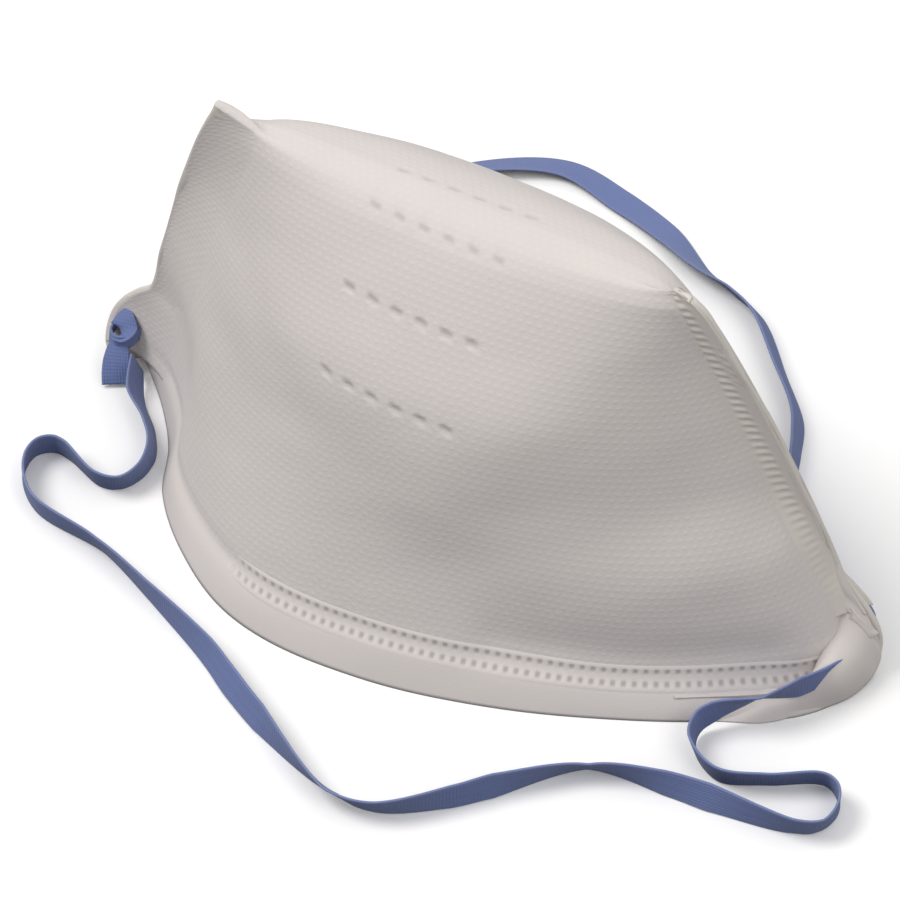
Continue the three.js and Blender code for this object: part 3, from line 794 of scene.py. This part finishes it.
# %% Ribbons of the knot
KNOT_RIBBONS = {
    "loop": table(["x", "y", "z", "roll", "wide"], [
        (-75.9, -1.2, 12.2, 10, 1.6), (-75.7, -2.6, 11.3, 8, 4.0), (-75.4, -3.9, 9.8, 0, 5.4),
        (-75.6, -4.3, 8.4, -6, 4.6), (-75.8, -4.0, 7.0, -8, 3.6),
    ]),
    "turn": table(["x", "y", "z", "roll", "wide"], [
        (-73.0, -1.4, 8.2, 78, 3.0), (-73.7, -4.2, 7.7, 84, 3.3), (-76.0, -5.6, 7.1, 90, 3.6),
        (-78.2, -4.4, 7.0, 96, 3.3), (-78.8, -1.4, 7.4, 100, 3.0),
    ]),
    "end": table(["x", "y", "z", "roll", "wide"], [
        (-75.9, -4.4, 7.2, 0, 3.0), (-75.6, -6.0, 6.0, 2, 4.4), (-75.1, -7.4, 4.4, 4, 5.2),
        (-74.5, -8.6, 2.6, 4, 5.5), (-73.8, -9.6, 0.8, 4, 5.6),
    ]),
}

parts, faces, flats = [], [], []
for ribbon in KNOT_RIBBONS.values():
    line, turns, travelled = smooth_line(ribbon, 0.25)
    shares = np.linspace(0, 1, len(ribbon["wide"]))
    wides = np.interp(np.linspace(0, 1, len(line)), shares, ribbon["wide"])
    cloth, quads, flat = sweep(line, turns, travelled, wides)
    first = sum(len(p) for p in parts)
    parts.append(cloth)
    faces += [tuple(first + i for i in f) for f in quads]
    flats.append(flat)
knot = make_piece("knot_folds", np.vstack(parts), faces, np.vstack(flats))

# %% [markdown]
# ## Finishes shared by the cloths
# Nonwoven is pressed from loose fibres by a heated roller, which leaves rows of small bonded points, here
# 1.8 mm apart and every other row shifted by half. Every cloth piece shows these points, and its fibres
# make it slightly uneven in tone. Both effects are node groups, so each finish can place them with its own
# strength.

# %% Node helpers
def math_node(tree, operation, *values):
    node = tree.nodes.new("ShaderNodeMath")
    node.operation = operation
    for socket, value in zip(node.inputs, values):
        if isinstance(value, (int, float)):
            socket.default_value = value
        else:
            tree.links.new(value, socket)
    return node.outputs[0]


def new_group(name, inputs, outputs):
    group = bpy.data.node_groups.new(name, "ShaderNodeTree")
    for label, kind, default in inputs:
        socket = group.interface.new_socket(label, in_out="INPUT", socket_type=kind)
        if default is not None:
            socket.default_value = default
    for label, kind in outputs:
        group.interface.new_socket(label, in_out="OUTPUT", socket_type=kind)
    return group, group.nodes.new("NodeGroupInput"), group.nodes.new("NodeGroupOutput")


def place_group(tree, group, **values):
    node = tree.nodes.new("ShaderNodeGroup")
    node.node_tree = group
    for label, value in values.items():
        node.inputs[label.replace("_", " ")].default_value = value
    return node


# %% Bonded points
bonded_points, inlet, outlet = new_group(
    "bonded_points",
    [
        ("Place", "NodeSocketVector", None),
        ("Across", "NodeSocketFloat", 1.78),
        ("Down", "NodeSocketFloat", 1.4),
    ],
    [("Points", "NodeSocketFloat")],
)
split = bonded_points.nodes.new("ShaderNodeSeparateXYZ")
bonded_points.links.new(inlet.outputs["Place"], split.inputs[0])
rows_down = math_node(bonded_points, "DIVIDE", split.outputs["Y"], inlet.outputs["Down"])
whole_row = math_node(bonded_points, "FLOOR", rows_down)
shift = math_node(bonded_points, "MULTIPLY", math_node(bonded_points, "MODULO", whole_row, 2.0), 0.5)
steps_across = math_node(bonded_points, "DIVIDE", split.outputs["X"], inlet.outputs["Across"])
from_point = math_node(bonded_points, "FRACT", math_node(bonded_points, "ADD", steps_across, shift))
u = math_node(bonded_points, "DIVIDE", math_node(bonded_points, "SUBTRACT", from_point, 0.5), 0.36)
v = math_node(bonded_points, "SUBTRACT", math_node(bonded_points, "FRACT", rows_down), 0.5)
v = math_node(bonded_points, "DIVIDE", v, 0.34)
u_squared = math_node(bonded_points, "MULTIPLY", u, u)
v_squared = math_node(bonded_points, "MULTIPLY", v, v)
far_off = math_node(bonded_points, "ADD", u_squared, v_squared)
inside = math_node(bonded_points, "SUBTRACT", 1.0, math_node(bonded_points, "MINIMUM", far_off, 1.0))
bonded_points.links.new(inside, outlet.inputs["Points"])
print("bonded points every 1.78 by 1.4 mm")

# %% Fibre tone
fibre_tone, inlet, outlet = new_group(
    "fibre_tone",
    [("Place", "NodeSocketVector", None)],
    [("Tone", "NodeSocketFloat"), ("Fibres", "NodeSocketFloat")],
)
cloudy = fibre_tone.nodes.new("ShaderNodeTexNoise")
cloudy.inputs["Scale"].default_value = 0.09
cloudy.inputs["Detail"].default_value = 3
fine = fibre_tone.nodes.new("ShaderNodeTexNoise")
fine.inputs["Scale"].default_value = 2.6
fine.inputs["Detail"].default_value = 4
stretched = fibre_tone.nodes.new("ShaderNodeMapping")
stretched.inputs["Scale"].default_value = (0.45, 1.6, 1.0)
fibre_tone.links.new(inlet.outputs["Place"], cloudy.inputs["Vector"])
fibre_tone.links.new(inlet.outputs["Place"], stretched.inputs["Vector"])
fibre_tone.links.new(stretched.outputs["Vector"], fine.inputs["Vector"])
fibre_tone.links.new(cloudy.outputs["Fac"], outlet.inputs["Tone"])
fibre_tone.links.new(fine.outputs["Fac"], outlet.inputs["Fibres"])
print("fibre tone group has", len(fibre_tone.nodes), "nodes")


# %% [markdown]
# ## The white cloth
# Under soft light the cloth is a warm greyish white with a faint pink and cool cloudiness. The bonded
# points catch a little light, and the press marks look darker because the layers are melted flat there. The
# margins are pressed harder than the panels, so they use the same groups without points and in a warmer
# tone. The hem lip below the weld is one ply; near its middle it is mixed a little greyer, which is painted
# shade.

# %% Cloth finish
SPECK_SHADE = 0.05
WELD_SHADE = 0.55
# strength of the painted shade on the middle of the hem lip
LIP_PAINTED_SHADE = 0.4


def mix_colours(tree, factor, first, second):
    node = tree.nodes.new("ShaderNodeMix")
    node.data_type = "RGBA"
    for socket, value in ((node.inputs[6], first), (node.inputs[7], second)):
        if isinstance(value, tuple):
            socket.default_value = (*value, 1)
        else:
            tree.links.new(value, socket)
    tree.links.new(factor, node.inputs[0])
    return node.outputs[2]


def cloth_finish(name, light, cloudy, pressed, point_height, fibre_height):
    finish = bpy.data.materials.new(name)
    finish.use_nodes = True
    tree = finish.node_tree
    shader = tree.nodes["Principled BSDF"]
    shader.inputs["Roughness"].default_value = 0.88
    shader.inputs["Specular IOR Level"].default_value = 0.25
    shader.inputs["Sheen Weight"].default_value = 0.12
    shader.inputs["Sheen Roughness"].default_value = 0.5
    place = tree.nodes.new("ShaderNodeUVMap")
    place.uv_map = "cloth"
    in_mm = tree.nodes.new("ShaderNodeVectorMath")
    in_mm.operation = "SCALE"
    in_mm.inputs["Scale"].default_value = 100
    tree.links.new(place.outputs["UV"], in_mm.inputs[0])
    points = place_group(tree, bonded_points)
    fibres = place_group(tree, fibre_tone)
    for node in (points, fibres):
        tree.links.new(in_mm.outputs[0], node.inputs["Place"])
    weld = tree.nodes.new("ShaderNodeAttribute")
    weld.attribute_name = "pressed"
    tone = mix_colours(tree, fibres.outputs["Tone"], light, cloudy)
    plain = tree.nodes.new("ShaderNodeAttribute")
    plain.attribute_name = "plain"
    dotted = math_node(tree, "SUBTRACT", 1.0, plain.outputs["Fac"])
    bonded = math_node(tree, "MULTIPLY", points.outputs["Points"], dotted)
    speck = math_node(tree, "MULTIPLY", math_node(tree, "SUBTRACT", dotted, bonded), SPECK_SHADE)
    tone = mix_colours(tree, speck, tone, pressed)
    tone = mix_colours(tree, math_node(tree, "MULTIPLY", weld.outputs["Fac"], WELD_SHADE), tone, pressed)
    # painted shade on the hem lip, greyer near its middle, mixed toward the pressed grey
    lip_shade_mask = tree.nodes.new("ShaderNodeAttribute")
    lip_shade_mask.attribute_name = "lip_painted_shade"
    tone = mix_colours(tree, math_node(tree, "MULTIPLY", lip_shade_mask.outputs["Fac"], LIP_PAINTED_SHADE), tone, pressed)
    tree.links.new(tone, shader.inputs["Base Color"])
    relief = math_node(tree, "MULTIPLY", bonded, point_height)
    fuzz = math_node(tree, "MULTIPLY", fibres.outputs["Fibres"], fibre_height)
    relief = math_node(tree, "ADD", relief, fuzz)
    bump = tree.nodes.new("ShaderNodeBump")
    bump.inputs["Strength"].default_value = 0.6
    bump.inputs["Distance"].default_value = 0.001
    tree.links.new(relief, bump.inputs["Height"])
    tree.links.new(bump.outputs["Normal"], shader.inputs["Normal"])
    return finish


panel_cloth = cloth_finish(
    "panel_cloth", light=(0.665, 0.618, 0.592), cloudy=(0.635, 0.592, 0.575), pressed=(0.38, 0.355, 0.34),
    point_height=0.055, fibre_height=0.05,
)
margin_cloth = cloth_finish(
    "margin_cloth", light=(0.68, 0.635, 0.59), cloudy=(0.65, 0.605, 0.565), pressed=(0.42, 0.39, 0.36),
    point_height=0.0, fibre_height=0.08,
)
for piece in (shell, near_weld, far_weld, left_join, collar):
    piece.data.materials.append(panel_cloth)
for piece in (left_margin, right_margin, right_join):
    piece.data.materials.append(margin_cloth)
print("cloth finishes:", panel_cloth.name, margin_cloth.name)

# %% [markdown]
# ## The blue elastic
# Knitted elastic has fine ribs along its length and small stitches across them, and its edges are a little
# paler where the yarn turns back. It is matt with a faint sheen.

# %% Elastic finish
elastic = bpy.data.materials.new("blue_elastic")
elastic.use_nodes = True
tree = elastic.node_tree
shader = tree.nodes["Principled BSDF"]
shader.inputs["Roughness"].default_value = 0.7
shader.inputs["Specular IOR Level"].default_value = 0.3
shader.inputs["Sheen Weight"].default_value = 0.15
place = tree.nodes.new("ShaderNodeUVMap")
place.uv_map = "cloth"
in_mm = tree.nodes.new("ShaderNodeVectorMath")
in_mm.operation = "SCALE"
in_mm.inputs["Scale"].default_value = 100
tree.links.new(place.outputs["UV"], in_mm.inputs[0])
fibres = place_group(tree, fibre_tone)
tree.links.new(in_mm.outputs[0], fibres.inputs["Place"])
split = tree.nodes.new("ShaderNodeSeparateXYZ")
tree.links.new(in_mm.outputs[0], split.inputs[0])
ribs = math_node(tree, "SINE", math_node(tree, "MULTIPLY", split.outputs["X"], 2 * math.pi / 0.5))
stitches = math_node(tree, "SINE", math_node(tree, "MULTIPLY", split.outputs["Y"], 2 * math.pi / 0.62))
rib_share = math_node(tree, "MULTIPLY", ribs, 0.5)
stitch_share = math_node(tree, "MULTIPLY", stitches, 0.35)
weave = math_node(tree, "ADD", rib_share, stitch_share)
off_centre = math_node(tree, "ABSOLUTE", split.outputs["X"])
edge = math_node(tree, "POWER", math_node(tree, "DIVIDE", off_centre, STRAP_WIDTH / 2), 8.0)
tone = mix_colours(tree, fibres.outputs["Tone"], (0.12, 0.165, 0.365), (0.145, 0.19, 0.39))
tone = mix_colours(tree, math_node(tree, "MULTIPLY", edge, 0.3), tone, (0.26, 0.30, 0.48))
shade = math_node(tree, "MULTIPLY", math_node(tree, "ADD", weave, 1.0), 0.10)
tone = mix_colours(tree, shade, tone, (0.21, 0.25, 0.44))
tree.links.new(tone, shader.inputs["Base Color"])
bump = tree.nodes.new("ShaderNodeBump")
bump.inputs["Strength"].default_value = 0.5
bump.inputs["Distance"].default_value = 0.0001
tree.links.new(weave, bump.inputs["Height"])
tree.links.new(bump.outputs["Normal"], shader.inputs["Normal"])
for piece in (front_elastic, back_elastic, knot):
    piece.data.materials.append(elastic)
print("elastic finish has", len(tree.nodes), "nodes")

# %% [markdown]
# ## The table and the light
# The photograph was taken on a white sweep under an even, bright surrounding, with a little more light from
# the left, so soft shadows fall to the right. A wide floor, a weak soft key on the left, a weaker fill on
# the right and a bright surrounding give that. The camera sees the floor white, but bounced light meets it
# dark, because in the photograph little light comes up from below.

# %% Floor
floor_mesh = bpy.data.meshes.new("white_table")
FLOOR_SEEN = (0.98, 0.98, 0.98, 1)
FLOOR_BOUNCE = (0.14, 0.14, 0.14, 1)
half = 3.0
floor_corners = [(-half, -half, 0), (half, -half, 0), (half, half, 0), (-half, half, 0)]
floor_mesh.from_pydata(floor_corners, [], [(0, 1, 2, 3)])
floor = bpy.data.objects.new("white_table", floor_mesh)
bpy.context.scene.collection.objects.link(floor)
white = bpy.data.materials.new("white_table")
white.use_nodes = True
white_shader = white.node_tree.nodes["Principled BSDF"]
seen = white.node_tree.nodes.new("ShaderNodeLightPath")
shown = white.node_tree.nodes.new("ShaderNodeMix")
shown.data_type = "RGBA"
shown.inputs[6].default_value = FLOOR_BOUNCE
shown.inputs[7].default_value = FLOOR_SEEN
white.node_tree.links.new(seen.outputs["Is Camera Ray"], shown.inputs[0])
white.node_tree.links.new(shown.outputs[2], white_shader.inputs["Base Color"])
white_shader.inputs["Roughness"].default_value = 0.9
white_shader.inputs["Specular IOR Level"].default_value = 0.1
floor_mesh.materials.append(white)
print("floor", 2 * half, "m wide")

# %% Lights
KEY_FROM = Vector((-0.80, -0.45, 1.30))
KEY_SIZE = 0.8
KEY_POWER = 12.5
FILL_FROM = Vector((0.95, -0.35, 1.2))
FILL_POWER = 4
SURROUND = 0.68

for name, power, place in (("soft_key", KEY_POWER, KEY_FROM), ("soft_fill", FILL_POWER, FILL_FROM)):
    light = bpy.data.objects.new(name, bpy.data.lights.new(name, "AREA"))
    light.data.shape = "DISK"
    light.data.size = KEY_SIZE
    light.data.energy = power
    light.data.color = (1.0, 0.985, 0.97)
    light.location = place
    light.rotation_euler = (-place).to_track_quat("-Z", "Y").to_euler()
    bpy.context.scene.collection.objects.link(light)
world = bpy.data.worlds.new("studio")
world.use_nodes = True
surround = world.node_tree.nodes["Background"]
surround.inputs["Color"].default_value = (1.0, 1.0, 1.0, 1)
surround.inputs["Strength"].default_value = SURROUND
bpy.context.scene.world = world
bpy.context.scene.view_settings.view_transform = "Standard"
print("key light", KEY_POWER, "W from", [round(c, 2) for c in KEY_FROM])

# %% [markdown]
# ## Handing the pieces to the frame
# Every piece rides on the part's one body, and the solid it stands for is hidden. The real lengths of the
# two runs of elastic are printed.

# %% Pieces on the body, solids hidden
for piece, node in (
    (shell, "filter_shell"), (near_weld, "filter_shell"), (far_weld, "filter_shell"),
    (left_margin, "filter_shell"), (right_margin, "filter_shell"), (collar, "filter_shell"),
    (left_join, "filter_shell"), (right_join, "filter_shell"),
    (front_elastic, "front_strap"), (back_elastic, "back_strap"), (knot, "strap_knot"),
):
    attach(piece, "root")
    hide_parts(node)
print("cords:", round(front_length, 3), "m and", round(back_length, 3), "m")
